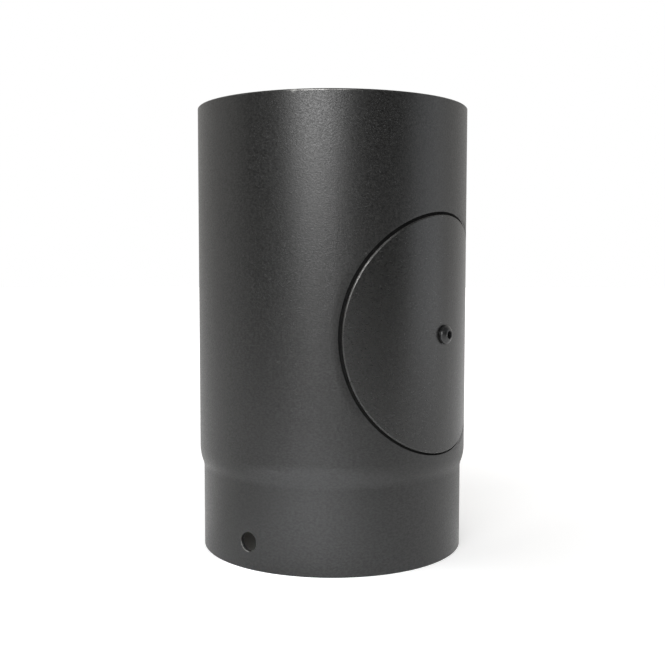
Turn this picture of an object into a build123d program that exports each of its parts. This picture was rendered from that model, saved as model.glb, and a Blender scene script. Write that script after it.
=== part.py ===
import os
from math import atan, cos, degrees, hypot, pi, radians, sin, sqrt, tan

from build123d import *

os.makedirs("parts", exist_ok=True)

# Driving sizes in millimetres
PIPE_BORE = 150.0
PIPE_WALL = 2.0
PIPE_LENGTH = 250.0
SPIGOT_LENGTH = 46.0
SWAGE_LENGTH = 12.0
RIM_CHAMFER = 0.4
DOOR_DIAMETER = 128.0
DOOR_CHAMFER = 0.5
EDGE_ROLL = 1.5
EDGE_DROP = 0.6
PLATE_THICKNESS = 2.0
PLATE_LAP = 9.0
PLATE_FOOT = 1.5
PLATE_CORNER = 12.0
LEDGE_SIDE = 18.0
LEDGE_END = 10.0
SEAL_THICKNESS = 0.5
SEAL_INSET = 1.5
BAR_WIDTH = 16.0
BAR_THICKNESS = 3.0
BAR_BEARING = 9.0
SCREW_DIAMETER = 6.0
SCREW_LENGTH = 16.0
HOLE_DIAMETER = 10.5
HOLE_HEIGHT = 15.0
HOLE_ANGLE = 87.7

# Clearances
SPIGOT_CLEARANCE = 0.2
DOOR_GAP = 1.2
DOOR_SAG = 0.3
DOOR_SLIP = 0.8
SWAGE_CLEARANCE = 0.4
SEAT_CLEARANCE = 0.3
BAR_CLEARANCE = 0.5
HEAD_CLEARANCE = 0.05
SCREW_HOLE_CLEARANCE = 0.3
THREAD_CLEARANCE = 0.05

# Radii from the pipe's axis
bore_radius = PIPE_BORE / 2
pipe_radius = bore_radius + PIPE_WALL
spigot_radius = bore_radius - SPIGOT_CLEARANCE
spigot_bore_radius = spigot_radius - PIPE_WALL
plate_inner_radius = bore_radius - PLATE_THICKNESS
seal_radius = bore_radius + SEAT_CLEARANCE
door_back_radius = seal_radius + SEAL_THICKNESS
bar_radius = plate_inner_radius - BAR_CLEARANCE
bar_inner_radius = bar_radius - BAR_THICKNESS

# Swage of two arcs, the lower one tighter
swage_step = pipe_radius - spigot_radius
swage_slope = 2 * degrees(atan(swage_step / SWAGE_LENGTH))
swage_radii = SWAGE_LENGTH / sin(radians(swage_slope))
swage_foot_radius = 0.3 * swage_radii
swage_brow_radius = swage_radii - swage_foot_radius

# Half sizes of the door, its cut-out and its opening, laid flat
door_half = DOOR_DIAMETER / 2
cutout_half = door_half + DOOR_GAP
opening_half_width = cutout_half - LEDGE_SIDE
opening_half_height = cutout_half - LEDGE_END
seal_half = door_half - SEAL_INSET
seal_inner_half = opening_half_height + SEAL_INSET
plate_angle = degrees((cutout_half + PLATE_LAP) / pipe_radius)
bar_angle = degrees(opening_half_width / pipe_radius + BAR_BEARING / bar_radius)

# Heights above the spigot's end
swage_top = SPIGOT_LENGTH + SWAGE_LENGTH
plate_bottom = swage_top + SWAGE_CLEARANCE
door_height = plate_bottom + PLATE_FOOT + cutout_half - DOOR_SAG
plate_height = door_height + cutout_half + PLATE_LAP - plate_bottom
door_plane = Plane(origin=(0, 0, door_height), x_dir=(1, 0, 0), z_dir=(0, -1, 0))

# Screw proportions of a button head with a hexagon socket
head_radius = 0.875 * SCREW_DIAMETER
head_height = 0.55 * SCREW_DIAMETER
head_edge = 0.1 * head_height
crown_radius = 0.52 * head_radius
socket_width = SCREW_DIAMETER * 2 / 3
socket_depth = 0.63 * head_height
dome_slope = (head_radius**2 - crown_radius**2) / (head_height - head_edge)
dome_centre = (head_height + head_edge - dome_slope) / 2
dome_radius = hypot(crown_radius, head_height - dome_centre)
screw_radius = SCREW_DIAMETER / 2
tip_round = 0.12 * SCREW_DIAMETER
nut_width = SCREW_DIAMETER * 5 / 3
nut_height = SCREW_DIAMETER * 5 / 6


def laid_oval(half_width, half_height, distance):
    """Outline of an oval laid on the pipe, cast from the axis onto a plane in front of it."""
    count = 16
    points = []
    for step in range(count):
        turn = 2 * pi * step / count
        azimuth = half_width * cos(turn) / pipe_radius
        points.append((distance * tan(azimuth), half_height * sin(turn)))
    return Edge.make_spline(points, periodic=True, parameters=[n / count for n in range(count + 1)])


def laid_prism(half_width, half_height, mode=Mode.ADD):
    """Solid whose walls stand square to the pipe along an oval laid on it."""
    sections = []
    for distance in (0.3 * pipe_radius, 1.3 * pipe_radius):
        with BuildSketch(door_plane.offset(distance)) as section:
            with BuildLine():
                add(laid_oval(half_width, half_height, distance))
            make_face()
        sections.append(section.sketch.face())
    loft(sections, ruled=True, mode=mode)


def tube(outer, inner):
    """Keep what lies between two radii about the pipe's axis."""
    Cylinder(outer, 4 * PIPE_LENGTH, mode=Mode.INTERSECT)
    Cylinder(inner, 4 * PIPE_LENGTH, mode=Mode.SUBTRACT)


def on_radius(edge, radius):
    """Whether an edge runs on a cylinder of that radius about the pipe's axis."""
    spots = [edge.position_at(part) for part in (0.05, 0.3, 0.55, 0.8)]
    return all(abs(hypot(spot.X, spot.Y) - radius) < 0.01 for spot in spots)


def rolled_strip(outer, thickness, middle, width, half_angle):
    """Square-ended strip rolled about the pipe's axis, its middle on the door's side."""
    end = (-sin(radians(half_angle)), -cos(radians(half_angle)), 0)
    with BuildSketch(Plane(origin=(0, 0, middle), x_dir=end, z_dir=(end[1], -end[0], 0))) as section:
        with Locations((outer - thickness / 2, 0)):
            Rectangle(thickness, width)
    revolve(section.sketch, axis=Axis.Z, revolution_arc=2 * half_angle)


# Cut-out, in which the door hangs a little low and to one side
with BuildPart() as door_cutout:
    laid_prism(cutout_half, cutout_half)

# Flue pipe with swaged spigot, punched cut-out with a rolled-over edge, and hole in the spigot
with BuildPart() as flue_pipe:
    with BuildSketch(Plane.XZ):
        with BuildLine():
            Line((spigot_bore_radius, 0), (spigot_radius, 0))
            Line((spigot_radius, 0), (spigot_radius, SPIGOT_LENGTH))
            foot = JernArc((spigot_radius, SPIGOT_LENGTH), (0, 1), swage_foot_radius, -swage_slope)
            brow = JernArc(foot @ 1, foot % 1, swage_brow_radius, swage_slope)
            Line(brow @ 1, (pipe_radius, PIPE_LENGTH))
            Line((pipe_radius, PIPE_LENGTH), (bore_radius, PIPE_LENGTH))
            Line((bore_radius, PIPE_LENGTH), (bore_radius, swage_top))
            inner_brow = JernArc((bore_radius, swage_top), (0, -1), swage_brow_radius, -swage_slope)
            inner_foot = JernArc(inner_brow @ 1, inner_brow % 1, swage_foot_radius, swage_slope)
            Line(inner_foot @ 1, (spigot_bore_radius, 0))
        profile = make_face()
        ends = [v for v in profile.vertices() if v.Y < 0.01 or v.Y > PIPE_LENGTH - 0.01]
        chamfer(ends, RIM_CHAMFER)
    revolve(axis=Axis.Z)
    with Locations((0, 0, DOOR_SAG)):
        add(door_cutout.part, rotation=(0, 0, -degrees(DOOR_SLIP / pipe_radius)), mode=Mode.SUBTRACT)
    skin = flue_pipe.faces().filter_by(GeomType.CYLINDER).sort_by(SortBy.RADIUS)[-1]
    cut_edge = skin.edges().filter_by(GeomType.BSPLINE)
    chamfer(cut_edge, EDGE_ROLL, EDGE_DROP, reference=skin)
    hole_way = (-sin(radians(HOLE_ANGLE)), -cos(radians(HOLE_ANGLE)), 0)
    with BuildSketch(Plane(origin=(0, 0, HOLE_HEIGHT), z_dir=hole_way)):
        Circle(HOLE_DIAMETER / 2)
    extrude(amount=2 * pipe_radius, mode=Mode.SUBTRACT)

# Seat plate rolled to the pipe's bore, with an oval opening
with BuildPart() as seat_plate:
    rolled_strip(bore_radius, PLATE_THICKNESS, plate_bottom + plate_height / 2, plate_height, plate_angle)
    fillet(seat_plate.edges().filter_by(GeomType.LINE).group_by(SortBy.LENGTH)[0], PLATE_CORNER)
    laid_prism(opening_half_width, opening_half_height, mode=Mode.SUBTRACT)

# Door rolled to the pipe's own radius, flush with it
with BuildPart() as inspection_door:
    laid_prism(door_half, door_half)
    tube(pipe_radius, door_back_radius)
    chamfer(inspection_door.edges().filter_by(lambda edge: on_radius(edge, pipe_radius)), DOOR_CHAMFER)
    with BuildSketch(door_plane):
        Circle(screw_radius + SCREW_HOLE_CLEARANCE)
    extrude(amount=2 * pipe_radius, mode=Mode.SUBTRACT)

# Fibre seal on the door's back
with BuildPart() as door_seal:
    laid_prism(seal_half, seal_half)
    tube(door_back_radius, seal_radius)
    laid_prism(seal_inner_half, seal_inner_half, mode=Mode.SUBTRACT)

# Clamp bar bent to the back of the seat plate
with BuildPart() as clamp_bar:
    rolled_strip(bar_radius, BAR_THICKNESS, door_height, BAR_WIDTH, bar_angle)
    fillet(clamp_bar.edges().filter_by(GeomType.LINE).group_by(SortBy.LENGTH)[0], 0.4 * BAR_WIDTH)
    with BuildSketch(door_plane):
        Circle(screw_radius + SCREW_HOLE_CLEARANCE)
    extrude(amount=2 * pipe_radius, mode=Mode.SUBTRACT)

# Square nut on the back of the bar
nut_face = sqrt(bar_inner_radius**2 - (nut_width / 2) ** 2)
with BuildPart() as clamp_nut:
    with BuildSketch(door_plane.offset(nut_face)):
        Rectangle(nut_width, nut_width)
        Circle(screw_radius + THREAD_CLEARANCE, mode=Mode.SUBTRACT)
    extrude(amount=-nut_height)

# Button-head screw
head_seat = pipe_radius + HEAD_CLEARANCE
with BuildPart() as door_screw:
    with BuildSketch(Plane(origin=(0, -head_seat, door_height), x_dir=(1, 0, 0), z_dir=(0, 0, 1))):
        with BuildLine():
            Line((0, SCREW_LENGTH), (screw_radius - tip_round, SCREW_LENGTH))
            Line((screw_radius - tip_round, SCREW_LENGTH), (screw_radius, SCREW_LENGTH - tip_round))
            Line((screw_radius, SCREW_LENGTH - tip_round), (screw_radius, 0))
            Line((screw_radius, 0), (head_radius, 0))
            Line((head_radius, 0), (head_radius, -head_edge))
            RadiusArc((head_radius, -head_edge), (crown_radius, -head_height), dome_radius)
            Line((crown_radius, -head_height), (0, -head_height))
            Line((0, -head_height), (0, SCREW_LENGTH))
        make_face()
    revolve(axis=Axis((0, 0, door_height), (0, 1, 0)))
    with BuildSketch(door_plane.offset(head_seat + head_height)):
        RegularPolygon(socket_width / 2, 6, major_radius=False, rotation=30)
    extrude(amount=-socket_depth, mode=Mode.SUBTRACT)

flue_pipe.part.label = "flue_pipe"
export_step(flue_pipe.part, "parts/flue_pipe.step")
seat_plate.part.label = "seat_plate"
export_step(seat_plate.part, "parts/seat_plate.step")
inspection_door.part.label = "inspection_door"
export_step(inspection_door.part, "parts/inspection_door.step")
door_seal.part.label = "door_seal"
export_step(door_seal.part, "parts/door_seal.step")
clamp_bar.part.label = "clamp_bar"
export_step(clamp_bar.part, "parts/clamp_bar.step")
clamp_nut.part.label = "clamp_nut"
export_step(clamp_nut.part, "parts/clamp_nut.step")
door_screw.part.label = "door_screw"
export_step(door_screw.part, "parts/door_screw.step")
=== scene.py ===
from math import cos, hypot, pi, radians, sin

import bmesh
import bpy
from mathutils import Matrix, Vector


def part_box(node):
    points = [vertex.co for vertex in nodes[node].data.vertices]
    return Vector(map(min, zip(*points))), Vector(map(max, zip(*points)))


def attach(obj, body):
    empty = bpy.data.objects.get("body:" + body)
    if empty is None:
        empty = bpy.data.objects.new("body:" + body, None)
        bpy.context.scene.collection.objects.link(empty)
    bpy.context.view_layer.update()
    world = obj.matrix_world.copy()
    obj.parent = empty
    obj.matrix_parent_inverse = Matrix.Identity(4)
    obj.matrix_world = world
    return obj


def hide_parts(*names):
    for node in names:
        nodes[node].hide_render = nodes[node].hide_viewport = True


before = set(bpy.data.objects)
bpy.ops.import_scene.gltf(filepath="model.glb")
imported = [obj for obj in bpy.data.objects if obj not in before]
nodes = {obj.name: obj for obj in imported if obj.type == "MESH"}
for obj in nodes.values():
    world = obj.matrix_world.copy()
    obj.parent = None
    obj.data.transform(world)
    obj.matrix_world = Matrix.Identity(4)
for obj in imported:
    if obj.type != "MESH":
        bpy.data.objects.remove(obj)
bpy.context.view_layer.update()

# Sizes of the part, in metres
pipe_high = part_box("flue_pipe")[1]
PIPE_RADIUS = pipe_high.x
PIPE_TOP = pipe_high.z
PIPE_WALL = 0.002
SPIGOT_RADIUS = 0.0748
HOLE_HEIGHT = 0.015
HOLE_ANGLE = radians(87.7)
HOLE_RADIUS = 0.00525
DOOR_RADIUS = 0.064

# The cut-out round the door, its rolled edge, and the dip of the pipe's skin at its left
CUTOUT_HEIGHT = 0.1251
CUTOUT_TURN = -0.0008 / PIPE_RADIUS
CUTOUT_RADIUS = 0.0652
ROLL_WIDTH, ROLL_SLOPE = 0.0015, 0.4
DIP_WIDTH, DIP_SLOPE = 0.005, 0.2126
DIP_SIDE = -0.057, -0.045

# The screw, a button head M6 with its thread
screw_low, screw_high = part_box("door_screw")
SCREW_AXIS = (screw_low.z + screw_high.z) / 2
SCREW_RADIUS = 0.003
SCREW_LENGTH = 0.016
SCREW_SEAT = SCREW_LENGTH - screw_high.y
HEAD_RADIUS = screw_high.x
HEAD_HEIGHT = -screw_low.y - SCREW_SEAT
HEAD_EDGE = 0.42 * HEAD_HEIGHT
HEAD_ROOT = 0.0002
SHOULDER = 0.0004
SHOULDER_INSET = 0.3 * SHOULDER
CROWN_RADIUS = 0.52 * HEAD_RADIUS
BROKEN_EDGE = 0.00012
SOCKET_APOTHEM = 0.002
SOCKET_DEPTH = 0.63 * HEAD_HEIGHT
DRILL_RADIUS, DRILL_DEPTH = 0.0008, 0.0002
THREAD_PITCH = 0.001
THREAD_DEPTH = 0.0006
THREAD_START = 0.0004
FLANK_STEEPNESS, ROOT_WIDTH = 1.6, 0.2
TIP_CHAMFER = 0.00072
SCREW_SIDES = 48
DOME_STEPS = 10
STEPS_PER_PITCH = 12
SHARP_ANGLE = radians(32.0)

# Relief of the paint in metres, and its least and greatest roughness, on the pipe and on the smoother door
PIPE_GRAIN, PIPE_PEEL = 0.000058, 0.00002
PIPE_ROUGH = 0.33, 0.45
DOOR_GRAIN, DOOR_PEEL = 0.00005, 0.00003
DOOR_ROUGH = 0.27, 0.34
DULL_ROUGH = 0.6

# Spans of a noise's values that a pattern uses: nearly all of them, or the part that makes patches
MOST, PATCHES = (0.3, 0.7), (0.35, 0.7)

# Radius in metres to which the shading rounds sharp edges
PIPE_ROUND, DOOR_ROUND = 0.0003, 0.0006
ROUND_SAMPLES = 6

# Patterns of the paint in cycles per metre, the finer ones flattened, and its colours
GRAIN_SCALE, FLECK_SCALE, PEEL_SCALE, CLOUD_SCALE = 960.0, 700.0, 430.0, 28.0
FLATTENED = (1.0, 1.0, 1.6)
FLECK_DARK, FLECK_LIGHT = (0.0045, 0.0045, 0.0044), (0.0190, 0.0190, 0.0184)
CLOUD_COLOUR, CLOUD_SHARE = (0.0135, 0.0135, 0.0130), 0.25
DULL_COLOUR = (0.012, 0.012, 0.0115)
# Worn edges in bare steel: wear, placed so that it also paints highlights on the rim and the door's edge
RUBBED_HIGHLIGHT_COLOUR, RUBBED_HIGHLIGHT_METALLIC = (0.19, 0.188, 0.183), 0.9
# Chipped paint, and the hole's lip, which is also a painted highlight
CHIPPED_AND_LIT_COLOUR = (0.24, 0.24, 0.23)

# Dull faces look this far away from outwards, as a cosine, and end at the pipe's foot and rim, in metres
TURNED_AWAY = 0.1, 0.5
FOOT_BAND = 0.0005, 0.001
RIM_BAND = PIPE_TOP - 0.001, PIPE_TOP - 0.0005

# Patterns of the wear in cycles per metre, and the least and greatest strength of rubbed edges, which also
# paint highlights
RIM_STREAK_SCALE, DOOR_STREAK_SCALE, FLAKE_SCALE, LIP_SCALE = 120.0, 160.0, 560.0, 700.0
RIM_STREAKS, DOOR_STREAKS = (0.4, 0.85), (0.6, 1.0)

# Wear and painted highlight: a line rubbed below the rim on one stretch, where the key light's highlight
# falls, and a knock on the rim further to the left
WORN_HIGHLIGHT_ANGLE, CHIP_ANGLE = radians(55.0), radians(66.0)
RIM_LINE_START = PIPE_TOP - 0.0011, PIPE_TOP - 0.0008
RIM_LINE_STOP = PIPE_TOP - 0.0006, PIPE_TOP - 0.0004
RIM_LINE_REACH, RIM_LINE_ELSEWHERE = (0.014, 0.022), 0.05
CHIP_REACH = 0.0008, 0.0021

# Wear and painted highlight: the bare lip at the lower left of the hole in the spigot, the side where its
# edge catches the light
LIP_EDGE = HOLE_RADIUS + 0.0002, HOLE_RADIUS + 0.0005
LIP_DEPTH = 0.0001, 0.0004
LIP_ACROSS, LIP_UP = -0.62, -0.78
LIP_LIT_SIDE = 0.62 * HOLE_RADIUS, 0.88 * HOLE_RADIUS

# Wear and painted highlight: the door's rubbed edge, which fades towards its lower half and its top, so that
# it is brightest where the light catches it
DOOR_EDGE_BAND = DOOR_RADIUS - 0.0010, DOOR_RADIUS - 0.0005
DOOR_EDGE_HIGHLIGHT_RISE = SCREW_AXIS - 0.002, SCREW_AXIS + 0.034
DOOR_EDGE_HIGHLIGHT_FALL = SCREW_AXIS + 0.046, SCREW_AXIS + 0.056
DOOR_EDGE_HIGHLIGHT_BELOW, DOOR_EDGE_HIGHLIGHT_ABOVE = 0.15, 0.1

# The photograph's camera, fitted to the pipe's outline
IMAGE_SIZE = 665
FOCAL_PIXELS = 981.43
SENSOR_WIDTH = 36.0
CLIP_START = 0.01
CAMERA_DISTANCE = 0.57318
CAMERA_HEIGHT = 0.16307
CAMERA_PITCH = radians(4.059)
CAMERA_YAW = radians(0.0139)
CAMERA_ROLL = radians(0.084)
CAMERA_AZIMUTH = radians(-51.3)

# The floor, how it shines for the camera, and how in reflections only, a painted reflection that stops in
# front as at a table's edge
FLOOR_RADIUS, FLOOR_SIDES = 6.0, 64
# Inside the pipe the floor is painted darker, as painted shade.
FLOOR_COLOUR, FLOOR_SHADE_INSIDE = (0.80, 0.80, 0.80), (0.45, 0.45, 0.43)
GLOW_NEAR, GLOW_FAR = 0.50, 1.0
GLOW_BAND = 0.10, 0.6
GLOW_MIRRORED = 0.59
SECTOR_LEFT, SECTOR_RIGHT = radians(-80.0), radians(60.0)
LEFT_EDGE, RIGHT_EDGE, FRONT_EDGE = (0.10, 0.35), (0.04, 0.20), (0.30, 0.70)
# The painted reflection of the floor is dimmer close by, on two sides.
DIM_LEFT, DIM_RIGHT = radians(-50.0), radians(150.0)
DIM_WIDTH, DIM_BAND = (0.55, 0.9), (0.22, 0.42)
DIM_SHARE = 0.42

# The room: white from behind the object round to the left and above it, dark in front
WALL_AZIMUTH, WALL_EDGE = radians(-170.5), 0.13
WALL_WHITE = 0.75
CEILING_WHITE, CEILING_EDGE = 0.45, (0.88, 0.98)
WHITE, WARM, COOL = (1.0, 1.0, 1.0), (1.0, 0.985, 0.955), (0.94, 0.965, 1.0)
LAMP_AIM = Vector((0, 0, 0.12))
TABLE_LAMP_AZIMUTH, TABLE_LAMP_REACH = -16.0, 0.200


def new_material(name):
    """A node material with an empty tree, its output and a Principled shader."""
    material = bpy.data.materials.new(name)
    material.use_nodes = True
    tree = material.node_tree
    tree.nodes.clear()
    output = tree.nodes.new("ShaderNodeOutputMaterial")
    shader = tree.nodes.new("ShaderNodeBsdfPrincipled")
    tree.links.new(shader.outputs["BSDF"], output.inputs["Surface"])
    return material, tree, shader


def math_node(tree, operation, first, second=None, clamp=False):
    """A math node on sockets or numbers."""
    node = tree.nodes.new("ShaderNodeMath")
    node.operation = operation
    node.use_clamp = clamp
    for socket, value in zip(node.inputs, (first, second)):
        if value is None:
            continue
        if isinstance(value, (int, float)):
            socket.default_value = value
        else:
            tree.links.new(value, socket)
    return node.outputs[0]


def product(tree, first, *others):
    """Sockets or numbers multiplied together."""
    for other in others:
        first = math_node(tree, "MULTIPLY", first, other)
    return first


def length(tree, across, up):
    """Length of the slope over two legs at right angles."""
    squares = math_node(tree, "ADD", product(tree, across, across), product(tree, up, up))
    return math_node(tree, "SQRT", squares)


def noise(tree, vector, scale, detail=2.0, roughness=0.5):
    """A noise texture; scale is in cycles per metre."""
    node = tree.nodes.new("ShaderNodeTexNoise")
    node.inputs["Scale"].default_value = scale
    node.inputs["Detail"].default_value = detail
    node.inputs["Roughness"].default_value = roughness
    tree.links.new(vector, node.inputs["Vector"])
    return node.outputs["Fac"]


def ramp(tree, value, low, high, to_low=0.0, to_high=1.0, smooth=True):
    """Maps a range of a socket's value onto another range."""
    node = tree.nodes.new("ShaderNodeMapRange")
    node.interpolation_type = "SMOOTHSTEP" if smooth else "LINEAR"
    node.inputs["From Min"].default_value = low
    node.inputs["From Max"].default_value = high
    node.inputs["To Min"].default_value = to_low
    node.inputs["To Max"].default_value = to_high
    tree.links.new(value, node.inputs["Value"])
    return node.outputs["Result"]


def mix_colour(tree, factor, first, second):
    """Mixes two colours, given as sockets or triples, by a factor socket."""
    node = tree.nodes.new("ShaderNodeMix")
    node.data_type = "RGBA"
    tree.links.new(factor, node.inputs[0])
    for socket, value in ((node.inputs[6], first), (node.inputs[7], second)):
        if isinstance(value, tuple):
            socket.default_value = (*value, 1.0)
        else:
            tree.links.new(value, socket)
    return node.outputs[2]


def bump(tree, height, strength, distance, normal=None):
    """A bump node; distance is in metres."""
    node = tree.nodes.new("ShaderNodeBump")
    node.inputs["Strength"].default_value = strength
    node.inputs["Distance"].default_value = distance
    tree.links.new(height, node.inputs["Height"])
    if normal is not None:
        tree.links.new(normal, node.inputs["Normal"])
    return node.outputs["Normal"]


def place(tree):
    """Position on the object, in metres."""
    return tree.nodes.new("ShaderNodeTexCoord").outputs["Object"]


def apart(tree, vector):
    """The X, Y and Z sockets of a vector."""
    node = tree.nodes.new("ShaderNodeSeparateXYZ")
    tree.links.new(vector, node.inputs[0])
    return node.outputs


def vector_node(tree, operation, first, second=None, result="Vector"):
    """A vector math node on sockets or triples."""
    node = tree.nodes.new("ShaderNodeVectorMath")
    node.operation = operation
    for socket, value in zip(node.inputs, (first, second)):
        if value is None:
            continue
        if isinstance(value, (tuple, Vector)):
            socket.default_value = value
        else:
            tree.links.new(value, socket)
    return node.outputs[result]


def along(tree, vector, way):
    """How far a vector goes along a direction."""
    return vector_node(tree, "DOT_PRODUCT", vector, way, "Value")


def distance_from(tree, where, spot):
    """Straight distance from a fixed spot, in metres."""
    return vector_node(tree, "DISTANCE", where, spot, "Value")


def laid_reach(tree, where, turn_of_middle, height_of_middle):
    """Distance from a point on the pipe's skin, measured along the skin, in metres."""
    spot = apart(tree, where)
    turn = math_node(tree, "ARCTAN2", spot["X"], product(tree, spot["Y"], -1.0))
    across = product(tree, math_node(tree, "SUBTRACT", turn, turn_of_middle), PIPE_RADIUS)
    up = math_node(tree, "SUBTRACT", spot["Z"], height_of_middle)
    return length(tree, across, up)


def streaks(tree, where, scale, least, most):
    """Uneven strength of a rubbed edge."""
    return ramp(tree, noise(tree, where, scale, 3.0, 0.6), 0.35, 0.6, least, most)


def on_rim(angle):
    """A spot on the pipe's rim, by its angle to the left of the door's middle."""
    return -PIPE_RADIUS * sin(angle), -PIPE_RADIUS * cos(angle), PIPE_TOP


def dip_relief(tree, where):
    """Height in metres that evens out the rolled edge, and spreads it into a dip at the door's left."""
    reach = laid_reach(tree, where, CUTOUT_TURN, CUTOUT_HEIGHT)
    depth = ramp(tree, reach, CUTOUT_RADIUS, CUTOUT_RADIUS + DIP_WIDTH, 1.0, 0.0, False)
    at_left = ramp(tree, apart(tree, where)["X"], *DIP_SIDE, 1.0, 0.0)
    dip = product(tree, depth, depth, at_left, -DIP_SLOPE * DIP_WIDTH / 2)
    roll = math_node(tree, "MAXIMUM", math_node(tree, "SUBTRACT", CUTOUT_RADIUS + ROLL_WIDTH, reach), 0.0)
    return math_node(tree, "ADD", dip, product(tree, roll, ROLL_SLOPE))


def rim_rub_and_highlight(tree, where, height):
    """Where the paint is worn bright along the rim, mostly on one stretch, which also paints the key light's
    highlight there.
    """
    streak = streaks(tree, where, RIM_STREAK_SCALE, *RIM_STREAKS)
    start = ramp(tree, height, *RIM_LINE_START)
    stop = ramp(tree, height, *RIM_LINE_STOP, 1.0, 0.0)
    # Painted highlight: the line is strongest on the stretch where the key light's highlight falls.
    handled_and_lit = ramp(tree, distance_from(tree, where, on_rim(WORN_HIGHLIGHT_ANGLE)), *RIM_LINE_REACH, 1.0, RIM_LINE_ELSEWHERE)
    return product(tree, start, stop, streak, handled_and_lit)


def rim_chip(tree, where):
    """Where a knock on the rim has flaked the paint off."""
    near = ramp(tree, distance_from(tree, where, on_rim(CHIP_ANGLE)), *CHIP_REACH, 1.0, 0.0)
    flakes = ramp(tree, noise(tree, where, FLAKE_SCALE, 3.0, 0.6), 0.42, 0.52)
    return product(tree, near, flakes)


def hole_lip_and_highlight(tree, where):
    """Where the paint is off at the lower left of the hole's lip, the side that catches the light, so it is
    also a painted highlight.
    """
    inward = Vector((sin(HOLE_ANGLE), cos(HOLE_ANGLE), 0.0))
    middle = Vector((0.0, 0.0, HOLE_HEIGHT)) - SPIGOT_RADIUS * inward
    off = vector_node(tree, "SUBTRACT", where, middle)
    across = along(tree, off, (cos(HOLE_ANGLE), -sin(HOLE_ANGLE), 0.0))
    up = apart(tree, off)["Z"]
    edge = ramp(tree, length(tree, across, up), *LIP_EDGE, 1.0, 0.0)
    outer = ramp(tree, along(tree, off, inward), *LIP_DEPTH, 1.0, 0.0)
    lower = math_node(tree, "ADD", product(tree, across, LIP_ACROSS), product(tree, up, LIP_UP))
    # Painted highlight: only the lower left of the lip, where its edge catches the light, is bare.
    side = ramp(tree, lower, *LIP_LIT_SIDE)
    ragged = ramp(tree, noise(tree, where, LIP_SCALE, 2.0, 0.5), 0.36, 0.56, 0.3, 1.0)
    return product(tree, edge, outer, side, ragged)


def pipe_wear_and_highlight(tree, where, height):
    """Where the pipe's paint is worn along the rim, and where it is off at the rim's knock and the hole's
    lip; the worn line and the lip are also painted highlights.
    """
    chipped_and_lit = math_node(tree, "MAXIMUM", rim_chip(tree, where), hole_lip_and_highlight(tree, where))
    return rim_rub_and_highlight(tree, where, height), chipped_and_lit


def door_wear_and_highlight(tree, where, height):
    """Where the door's edge is worn bright, strongest on its upper part as a painted highlight where light
    catches it; no paint is flaked off there.
    """
    edge = ramp(tree, laid_reach(tree, where, 0.0, SCREW_AXIS), *DOOR_EDGE_BAND)
    streak = streaks(tree, where, DOOR_STREAK_SCALE, *DOOR_STREAKS)
    # Painted highlight: the worn edge is strongest on the door's upper part, where the light catches it.
    rise = ramp(tree, height, *DOOR_EDGE_HIGHLIGHT_RISE, DOOR_EDGE_HIGHLIGHT_BELOW, 1.0)
    fall = ramp(tree, height, *DOOR_EDGE_HIGHLIGHT_FALL, 1.0, DOOR_EDGE_HIGHLIGHT_ABOVE)
    return product(tree, edge, streak, rise, fall), None


def coat_colour(tree, where, flat):
    """Colour of the paint: fine flecks under a faint cloud."""
    fleck = noise(tree, flat, FLECK_SCALE, 2.0, 0.6)
    cloud = noise(tree, where, CLOUD_SCALE, 3.0, 0.55)
    flecks = mix_colour(tree, ramp(tree, fleck, *MOST), FLECK_DARK, FLECK_LIGHT)
    return mix_colour(tree, ramp(tree, cloud, 0.35, 0.65, 0.0, CLOUD_SHARE), flecks, CLOUD_COLOUR)


def dull_faces(tree, where, height):
    """Faces that look inwards or stand in a cut, which got little paint, apart from the two ends."""
    outward = vector_node(tree, "NORMALIZE", vector_node(tree, "MULTIPLY", where, (1.0, 1.0, 0.0)))
    facing = tree.nodes.new("ShaderNodeTexCoord").outputs["Normal"]
    turned = ramp(tree, along(tree, facing, outward), *TURNED_AWAY, 1.0, 0.0)
    clear_of_foot = ramp(tree, height, *FOOT_BAND)
    clear_of_rim = ramp(tree, height, *RIM_BAND, 1.0, 0.0)
    return product(tree, turned, clear_of_foot, clear_of_rim)


def rounded_normal(tree, radius):
    """Normal that shades sharp edges as rounded."""
    node = tree.nodes.new("ShaderNodeBevel")
    node.samples = ROUND_SAMPLES
    node.inputs["Radius"].default_value = radius
    return node.outputs[0]


def link_finish(tree, shader, colour, roughness, normal):
    """Links what varies over a surface to the shader."""
    tree.links.new(colour, shader.inputs["Base Color"])
    tree.links.new(roughness, shader.inputs["Roughness"])
    tree.links.new(normal, shader.inputs["Normal"])


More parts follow.
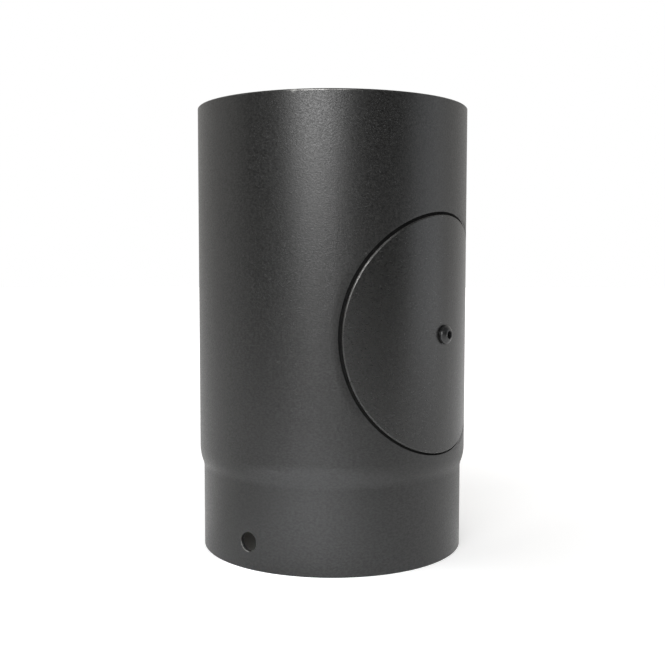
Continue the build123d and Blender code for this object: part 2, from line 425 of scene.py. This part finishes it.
def paint_material(name, grain_height, peel_height, roughness, rounding, wear_and_highlight, dips=False):
    """Matt black heat-resistant paint with a fine grain, dull inside and in the cuts, worn at its edges,
    where the wear also paints highlights.
    """
    material, tree, shader = new_material(name)
    where = place(tree)
    height = apart(tree, where)["Z"]
    flat = vector_node(tree, "MULTIPLY", where, FLATTENED)
    grain = noise(tree, flat, GRAIN_SCALE, 1.0, 0.5)
    peel = noise(tree, where, PEEL_SCALE, 2.0, 0.5)
    dull = dull_faces(tree, where, height)
    rubbed_and_lit, chipped_and_lit = wear_and_highlight(tree, where, height)
    skin = mix_colour(tree, dull, coat_colour(tree, where, flat), DULL_COLOUR)
    # Worn edges: wear and painted highlight.
    skin = mix_colour(tree, rubbed_and_lit, skin, RUBBED_HIGHLIGHT_COLOUR)
    if chipped_and_lit is not None:
        # Chips, and the hole's lip as a painted highlight.
        skin = mix_colour(tree, chipped_and_lit, skin, CHIPPED_AND_LIT_COLOUR)
    gloss = ramp(tree, grain, *MOST, *roughness)
    rough = math_node(tree, "ADD", gloss, product(tree, dull, DULL_ROUGH), clamp=True)
    relief = math_node(tree, "ADD", product(tree, grain, grain_height), product(tree, peel, peel_height))
    if dips:
        relief = math_node(tree, "ADD", relief, dip_relief(tree, where))
    normal = bump(tree, relief, 1.0, 1.0, rounded_normal(tree, rounding))
    link_finish(tree, shader, skin, rough, normal)
    # Worn edges are metallic: wear and painted highlight.
    tree.links.new(product(tree, rubbed_and_lit, RUBBED_HIGHLIGHT_METALLIC), shader.inputs["Metallic"])
    shader.inputs["IOR"].default_value = 1.5
    return material


def dull_plate_shade_material():
    """Dull black primer on the plate behind the door, painted darker than the pipe's paint as painted shade
    for the gap round the door.
    """
    material, tree, shader = new_material("dull_black")
    where = place(tree)
    dust = noise(tree, where, 240.0, 4.0, 0.6)
    grain = noise(tree, where, 1300.0, 3.0, 0.6)
    # Painted shade: both colours are darker than the pipe's paint, standing in for the shade in the gap
    # round the door; the patches between them are dust.
    clean, dusty = (0.0035, 0.0035, 0.0035), (0.0065, 0.0063, 0.006)
    colour = mix_colour(tree, ramp(tree, dust, *PATCHES), clean, dusty)
    roughness = ramp(tree, grain, *MOST, 0.82, 0.96)
    link_finish(tree, shader, colour, roughness, bump(tree, grain, 1.0, 0.00008))
    shader.inputs["Specular IOR Level"].default_value = 0.2
    return material


def screw_material():
    """Black oxide steel, in darker and lighter patches."""
    material, tree, shader = new_material("blackened_steel")
    where = place(tree)
    speckle = noise(tree, where, 2600.0, 3.0, 0.6)
    patch = noise(tree, where, 500.0, 2.0, 0.5)
    dark, light = (0.009, 0.009, 0.0095), (0.020, 0.020, 0.0205)
    colour = mix_colour(tree, ramp(tree, patch, *PATCHES), dark, light)
    roughness = ramp(tree, speckle, *MOST, 0.26, 0.38)
    link_finish(tree, shader, colour, roughness, bump(tree, speckle, 0.25, 0.00004))
    return material


def steel_material():
    """Plain rolled steel with fine scratches along its length."""
    material, tree, shader = new_material("plain_steel")
    where = place(tree)
    stretch = tree.nodes.new("ShaderNodeMapping")
    stretch.inputs["Scale"].default_value = (0.06, 1.0, 1.0)
    tree.links.new(where, stretch.inputs["Vector"])
    scratch = noise(tree, stretch.outputs[0], 2400.0, 4.0, 0.65)
    stain = noise(tree, where, 90.0, 3.0, 0.6)
    dark, light = (0.36, 0.355, 0.345), (0.50, 0.49, 0.475)
    colour = mix_colour(tree, ramp(tree, stain, *PATCHES), dark, light)
    roughness = ramp(tree, scratch, *MOST, 0.30, 0.48)
    link_finish(tree, shader, colour, roughness, bump(tree, scratch, 0.3, 0.00004))
    shader.inputs["Metallic"].default_value = 1.0
    return material


def fibre_material():
    """Pressed mineral fibre, off-white with stray darker fibres."""
    material, tree, shader = new_material("fibre")
    where = place(tree)
    fleece = noise(tree, where, 900.0, 5.0, 0.7)
    clump = noise(tree, where, 160.0, 3.0, 0.6)
    deep, raised, stray = (0.50, 0.48, 0.43), (0.72, 0.70, 0.64), (0.40, 0.37, 0.32)
    fibres = mix_colour(tree, ramp(tree, fleece, *MOST), deep, raised)
    colour = mix_colour(tree, ramp(tree, clump, 0.5, 0.8, 0.0, 0.5), fibres, stray)
    roughness = ramp(tree, clump, *MOST, 0.88, 0.98)
    link_finish(tree, shader, colour, roughness, bump(tree, fleece, 0.6, 0.0003))
    return material


def dress(names, material):
    """Gives CAD nodes a material."""
    for name in names:
        mesh = nodes[name].data
        mesh.materials.clear()
        mesh.materials.append(material)


def hexagon(apothem):
    """Radius of a hexagon at a turn about its middle."""
    return lambda turn: apothem / cos((turn - pi / 6) % (pi / 3) - pi / 6)


def thread_relief(phase):
    """Height of the thread's flank between root, 0, and crest, 1, along one pitch."""
    away = 2 * abs(phase - 0.5)
    return min(max(FLANK_STEEPNESS * (1 - away) - ROOT_WIDTH, 0.0), 1.0)


def threaded_shank(out):
    """Radius of the threaded shank at a turn, for a place along it, outwards from the head's seat."""
    under_head = min(max((-out - THREAD_START) / THREAD_PITCH, 0.0), 1.0)
    at_tip = SCREW_RADIUS - TIP_CHAMFER + SCREW_LENGTH + out

    def radius(turn):
        deep = THREAD_DEPTH * (1 - thread_relief((out / THREAD_PITCH - turn / (2 * pi)) % 1.0))
        return min(SCREW_RADIUS - deep * under_head, at_tip)

    return radius


def socket_rings():
    """The socket from its floor to its broken edge, as radii and their places along the screw."""
    floor_out = HEAD_HEIGHT - SOCKET_DEPTH
    return [
        (DRILL_RADIUS, floor_out - DRILL_DEPTH),
        (hexagon(SOCKET_APOTHEM), floor_out),
        (hexagon(SOCKET_APOTHEM), HEAD_HEIGHT - BROKEN_EDGE),
        (hexagon(SOCKET_APOTHEM + BROKEN_EDGE), HEAD_HEIGHT),
    ]


def head_rings():
    """The head's dome, straight edge and underside."""
    slope = (HEAD_RADIUS**2 - CROWN_RADIUS**2) / (HEAD_HEIGHT - HEAD_EDGE)
    centre = (HEAD_HEIGHT + HEAD_EDGE - slope) / 2
    dome = hypot(CROWN_RADIUS, HEAD_HEIGHT - centre)
    rings = []
    for n in range(DOME_STEPS + 1):
        radius = CROWN_RADIUS + (HEAD_RADIUS - CROWN_RADIUS) * n / DOME_STEPS
        rings.append((min(radius, HEAD_RADIUS - SHOULDER_INSET), centre + (dome**2 - radius**2) ** 0.5))
    return rings + [
        (HEAD_RADIUS, HEAD_EDGE - SHOULDER),
        (HEAD_RADIUS, BROKEN_EDGE),
        (HEAD_RADIUS - BROKEN_EDGE, 0.0),
        (SCREW_RADIUS + HEAD_ROOT, 0.0),
    ]


def thread_rings():
    """The threaded shank from under the head to the tip."""
    last = round(SCREW_LENGTH / THREAD_PITCH * STEPS_PER_PITCH)
    places = [-THREAD_PITCH * n / STEPS_PER_PITCH for n in range(2, last + 1)]
    return [(threaded_shank(out), out) for out in places]


def screw_mesh():
    """Mesh of the screw, made of rings from the socket's floor to the tip."""
    turns = [2 * pi * n / SCREW_SIDES for n in range(SCREW_SIDES)]
    mesh = bmesh.new()
    rings = []
    for radius, out in socket_rings() + head_rings() + thread_rings():
        ring = []
        for turn in turns:
            reach = radius(turn) if callable(radius) else radius
            spot = (reach * cos(turn), -SCREW_SEAT - out, SCREW_AXIS + reach * sin(turn))
            ring.append(mesh.verts.new(spot))
        rings.append(ring)
    for first, second in zip(rings, rings[1:]):
        for n in range(SCREW_SIDES):
            m = (n + 1) % SCREW_SIDES
            mesh.faces.new((first[n], first[m], second[m], second[n]))
    mesh.faces.new(rings[0])
    mesh.faces.new(rings[-1])
    bmesh.ops.recalc_face_normals(mesh, faces=mesh.faces)
    data = bpy.data.meshes.new("door_screw_threaded")
    mesh.to_mesh(data)
    mesh.free()
    data.polygons.foreach_set("use_smooth", [True] * len(data.polygons))
    data.set_sharp_from_angle(angle=SHARP_ANGLE)
    return data


def screw_piece(material):
    """The screw with its rounded head, hexagon socket and thread, in place of the plain one."""
    data = screw_mesh()
    data.materials.append(material)
    piece = bpy.data.objects.new("door_screw_threaded", data)
    bpy.context.scene.collection.objects.link(piece)
    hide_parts("door_screw")
    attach(piece, "screw")


def camera_shot():
    """The camera at the photograph's angle."""
    data = bpy.data.cameras.new("photo_camera")
    data.sensor_fit = "HORIZONTAL"
    data.sensor_width = SENSOR_WIDTH
    data.lens = SENSOR_WIDTH * FOCAL_PIXELS / IMAGE_SIZE
    data.clip_start = CLIP_START
    camera = bpy.data.objects.new("photo_camera", data)
    bpy.context.scene.collection.objects.link(camera)
    around = Matrix.Rotation(CAMERA_AZIMUTH, 4, "Z")
    stand = Matrix.Translation((0, -CAMERA_DISTANCE, CAMERA_HEIGHT))
    yaw = Matrix.Rotation(-CAMERA_YAW, 4, "Z")
    pitch = Matrix.Rotation(radians(90) - CAMERA_PITCH, 4, "X")
    roll = Matrix.Rotation(CAMERA_ROLL, 4, "Z")
    camera.matrix_world = around @ stand @ yaw @ pitch @ roll
    bpy.context.scene.camera = camera


def aside(azimuth, distance, height=0.0):
    """A place round the object, azimuth counted from the camera, positive to the right."""
    turn = CAMERA_AZIMUTH + azimuth
    return Vector((distance * sin(turn), -distance * cos(turn), height))


def seen_glow(tree, path, reach):
    """How the floor shines for the camera, less so near the object, where its shadow lies."""
    spread = ramp(tree, reach, *GLOW_BAND, GLOW_NEAR, GLOW_FAR)
    return product(tree, path.outputs["Is Camera Ray"], spread)


def painted_reflection_glow(tree, path, where, reach):
    """How the floor shines in reflections only, a painted reflection that stops in front and is dimmer close
    by on two sides.
    """
    from_left = ramp(tree, along(tree, where, aside(SECTOR_LEFT + pi / 2, 1.0)), *LEFT_EDGE)
    from_right = ramp(tree, along(tree, where, aside(SECTOR_RIGHT - pi / 2, 1.0)), *RIGHT_EDGE)
    past_edge = product(tree, from_left, from_right, ramp(tree, reach, *FRONT_EDGE))
    # Painted reflection: the floor's glow for reflections stops in front.
    reflection_stop = ramp(tree, past_edge, 0.0, 1.0, GLOW_MIRRORED, 0.0, False)
    way = vector_node(tree, "NORMALIZE", where)
    left = ramp(tree, along(tree, way, aside(DIM_LEFT, 1.0)), *DIM_WIDTH)
    right = ramp(tree, along(tree, way, aside(DIM_RIGHT, 1.0)), *DIM_WIDTH)
    close = ramp(tree, reach, *DIM_BAND, DIM_SHARE, 0.0)
    dimmed = product(tree, math_node(tree, "MAXIMUM", left, right), close)
    mirror = math_node(tree, "MAXIMUM", path.outputs["Is Glossy Ray"], path.outputs["Is Transmission Ray"])
    return product(tree, mirror, reflection_stop, math_node(tree, "SUBTRACT", 1.0, dimmed))


def floor_material():
    """White that shines for the camera and in reflections, except inside the pipe, where the floor is
    painted darker and does not shine, as painted shade.
    """
    material, tree, shader = new_material("floor_white")
    shader.inputs["Roughness"].default_value = 0.9
    shader.inputs["Specular IOR Level"].default_value = 0.1
    shader.inputs["Emission Color"].default_value = (*WHITE, 1.0)
    path = tree.nodes.new("ShaderNodeLightPath")
    where = place(tree)
    reach = vector_node(tree, "LENGTH", where, result="Value")
    # Painted shade inside the pipe: a darker colour there and no glow.
    outside = math_node(tree, "GREATER_THAN", reach, PIPE_RADIUS - 2 * PIPE_WALL)
    tree.links.new(mix_colour(tree, outside, FLOOR_SHADE_INSIDE, FLOOR_COLOUR), shader.inputs["Base Color"])
    seen = seen_glow(tree, path, reach)
    mirrored = painted_reflection_glow(tree, path, where, reach)
    glow = product(tree, math_node(tree, "MAXIMUM", seen, mirrored), outside)
    tree.links.new(glow, shader.inputs["Emission Strength"])
    return material


def floor():
    """Round white floor, which keeps the object's shadow."""
    mesh = bpy.data.meshes.new("floor")
    turns = [2 * pi * n / FLOOR_SIDES for n in range(FLOOR_SIDES)]
    rim = [(FLOOR_RADIUS * cos(turn), FLOOR_RADIUS * sin(turn), 0) for turn in turns]
    mesh.from_pydata(rim, [], [tuple(range(FLOOR_SIDES))])
    mesh.materials.append(floor_material())
    plane = bpy.data.objects.new("floor", mesh)
    bpy.context.scene.collection.objects.link(plane)


def softbox(name, azimuth, distance, height, width, tall, power, colour=WHITE, aim=LAMP_AIM, spread=180.0):
    """A soft area light round the object; azimuth, from the camera, and spread are in degrees."""
    data = bpy.data.lights.new(name, "AREA")
    data.shape = "RECTANGLE"
    data.size = width
    data.size_y = tall
    data.energy = power
    data.color = colour
    data.spread = radians(spread)
    light = bpy.data.objects.new(name, data)
    bpy.context.scene.collection.objects.link(light)
    light.location = aside(radians(azimuth), distance, height)
    light.rotation_euler = (aim - light.location).to_track_quat("-Z", "Y").to_euler()


def lamps():
    """A key light with a brighter core, a high one, one at the right, and a small one over the floor."""
    softbox("key", azimuth=-13.0, distance=1.2, height=0.55, width=0.80, tall=0.3, power=9.0)
    softbox("key_core", azimuth=-14.0, distance=1.2, height=0.40, width=0.42, tall=0.3, power=1.9)
    softbox("high", azimuth=-59.0, distance=0.90, height=1.02, width=0.45, tall=0.45, power=1.8)
    softbox("side", azimuth=83.0, distance=1.2, height=0.30, width=0.70, tall=0.8, power=2.1, colour=COOL)
    on_table = aside(radians(TABLE_LAMP_AZIMUTH), TABLE_LAMP_REACH)
    softbox(
        "reflection_stop", azimuth=TABLE_LAMP_AZIMUTH, distance=0.235, height=0.50, width=0.15, tall=0.15, power=0.25,
        colour=COOL, aim=on_table, spread=30.0,
    )


def world_light():
    """White for the camera; for other rays white behind the object, at its left and above, dark in front."""
    world = bpy.data.worlds.new("studio")
    bpy.context.scene.world = world
    world.use_nodes = True
    tree = world.node_tree
    tree.nodes.clear()
    output = tree.nodes.new("ShaderNodeOutputWorld")
    room = tree.nodes.new("ShaderNodeBackground")
    room.inputs["Color"].default_value = (*WARM, 1.0)
    towards = tree.nodes.new("ShaderNodeTexCoord").outputs["Generated"]
    wall = ramp(tree, along(tree, towards, aside(WALL_AZIMUTH, 1.0)), -WALL_EDGE, WALL_EDGE, 0.0, WALL_WHITE)
    ceiling = ramp(tree, apart(tree, towards)["Z"], *CEILING_EDGE, 0.0, CEILING_WHITE)
    tree.links.new(math_node(tree, "MAXIMUM", wall, ceiling), room.inputs["Strength"])
    sky = tree.nodes.new("ShaderNodeBackground")
    sky.inputs["Color"].default_value = (*WHITE, 1.0)
    path = tree.nodes.new("ShaderNodeLightPath")
    mixer = tree.nodes.new("ShaderNodeMixShader")
    tree.links.new(path.outputs["Is Camera Ray"], mixer.inputs[0])
    tree.links.new(room.outputs[0], mixer.inputs[1])
    tree.links.new(sky.outputs[0], mixer.inputs[2])
    tree.links.new(mixer.outputs[0], output.inputs["Surface"])


pipe_paint = paint_material("black_paint", PIPE_GRAIN, PIPE_PEEL, PIPE_ROUGH, PIPE_ROUND, pipe_wear_and_highlight, True)
door_paint = paint_material("black_paint_door", DOOR_GRAIN, DOOR_PEEL, DOOR_ROUGH, DOOR_ROUND, door_wear_and_highlight)
dress(("flue_pipe",), pipe_paint)
dress(("inspection_door",), door_paint)
dress(("seat_plate",), dull_plate_shade_material())
dress(("clamp_bar", "clamp_nut"), steel_material())
dress(("door_seal",), fibre_material())
screw_piece(screw_material())

camera_shot()
floor()
lamps()
world_light()

scene = bpy.context.scene
scene.view_settings.view_transform = "Standard"

bpy.context.view_layer.update()
